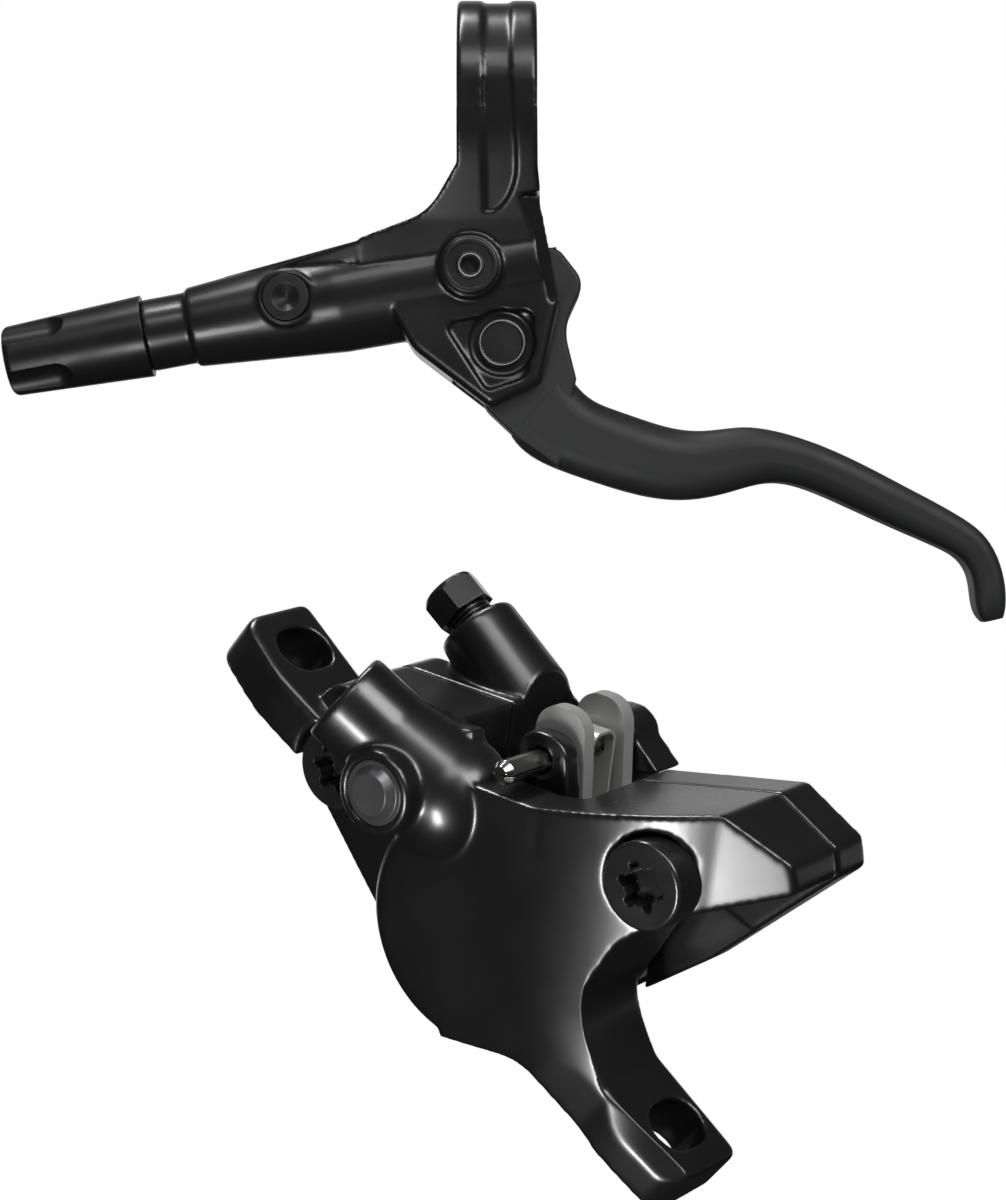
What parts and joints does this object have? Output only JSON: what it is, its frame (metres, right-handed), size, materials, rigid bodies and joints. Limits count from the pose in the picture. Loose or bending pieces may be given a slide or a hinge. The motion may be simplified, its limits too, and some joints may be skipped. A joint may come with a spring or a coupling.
{
  "type": "hydraulic disc brake",
  "caption": "Bicycle hydraulic disc brake: a bar-clamp lever with a short curved blade, and a post-mount caliper with opposed pistons, pads and a bleed nipple.",
  "frame": {"origin": "centre of the bar clamp", "axes": "+X along the handlebar towards the lever's tip, +Z from the lever to the bar, +Y away from the outer faces"},
  "size_m": [0.1587, 0.1701, 0.1647],
  "materials": {
    "housing_paint": "semi-gloss black paint on cast aluminium",
    "caliper_paint": "gloss black paint on forged aluminium",
    "blade_paint": "matt black paint",
    "boot_rubber": "matt dark rubber",
    "black_steel": "black oxide steel",
    "black_screw": "satin black",
    "lid_plastic": "black resin",
    "seal_rubber": "black seal rubber",
    "brass": "turned brass",
    "bright_steel": "bright steel",
    "spring_steel": "stainless sheet",
    "piston_aluminium": "turned aluminium",
    "plug_steel": "dark zinc",
    "plate_steel": "grey stamped steel",
    "friction": "pressed friction compound",
    "piston_resin": "moulded resin"
  },
  "bodies": {
    "frame": {"lever_housing": "housing_paint", "clamp_bolt": "black_steel", "hose_boot": "boot_rubber", "hose_nut": "black_steel", "hose_olive": "brass", "bleed_screw": "black_screw", "bleed_screw_seal": "seal_rubber", "blind_plug": "black_screw", "reservoir_diaphragm": "seal_rubber", "reservoir_lid": "lid_plastic", "lid_screws": "black_steel", "pivot_axle": "black_steel", "axle_circlip": "bright_steel", "piston_stop_ring": "bright_steel", "return_spring": "bright_steel", "caliper_outer_half": "caliper_paint", "caliper_inner_half": "caliper_paint", "body_bolts": "black_steel", "passage_plug": "plug_steel", "pad_pin": "bright_steel", "pad_spring": "spring_steel", "outer_piston_seal": "seal_rubber", "inner_piston_seal": "seal_rubber"},
    "blade": {"brake_blade": "blade_paint", "blade_bushings": "lid_plastic", "reach_screw": "black_steel"},
    "plunger": {"master_piston": "piston_aluminium", "primary_cup": "seal_rubber", "secondary_cup": "seal_rubber", "pushrod": "bright_steel"},
    "outer_pad": {"outer_piston": "piston_resin", "outer_pad_plate": "plate_steel", "outer_friction": "friction"},
    "inner_pad": {"inner_piston": "piston_resin", "inner_pad_plate": "plate_steel", "inner_friction": "friction"},
    "nipple": {"bleed_nipple": "black_steel"}
  },
  "joints": [
    {"name": "blade_pivot", "type": "hinge", "parent": "frame", "child": "blade", "pos_m": [0.0008, 0, -0.04], "axis": [0, -1, 0], "range_deg": [0, 22], "stiffness_Nm_per_rad": 0.35, "springref_deg": -20.05},
    {"name": "plunger_slide", "type": "slide", "parent": "frame", "child": "plunger", "axis": [-0.9829, 0, -0.184], "range_m": [0, 0.00482], "deforming": ["return_spring"]},
    {"name": "outer_pad_slide", "type": "slide", "parent": "frame", "child": "outer_pad", "axis": [0.5999, 0.7838, 0.1606], "range_m": [0, 0.00043]},
    {"name": "inner_pad_slide", "type": "slide", "parent": "frame", "child": "inner_pad", "axis": [-0.5999, -0.7838, -0.1606], "range_m": [0, 0.00043]},
    {"name": "nipple_turn", "type": "hinge", "parent": "frame", "child": "nipple", "pos_m": [-0.0025, -0.10329, -0.08315], "axis": [-0.6009, 0.3088, 0.7373], "range_deg": [0, 90]}
  ],
  "couplings": [
    {"joint": "plunger_slide", "follows": "blade_pivot", "m_per_rad": 0.0123},
    {"joint": "outer_pad_slide", "follows": "blade_pivot", "m_per_rad": 0.0010678},
    {"joint": "inner_pad_slide", "follows": "blade_pivot", "m_per_rad": 0.0010678}
  ]
}
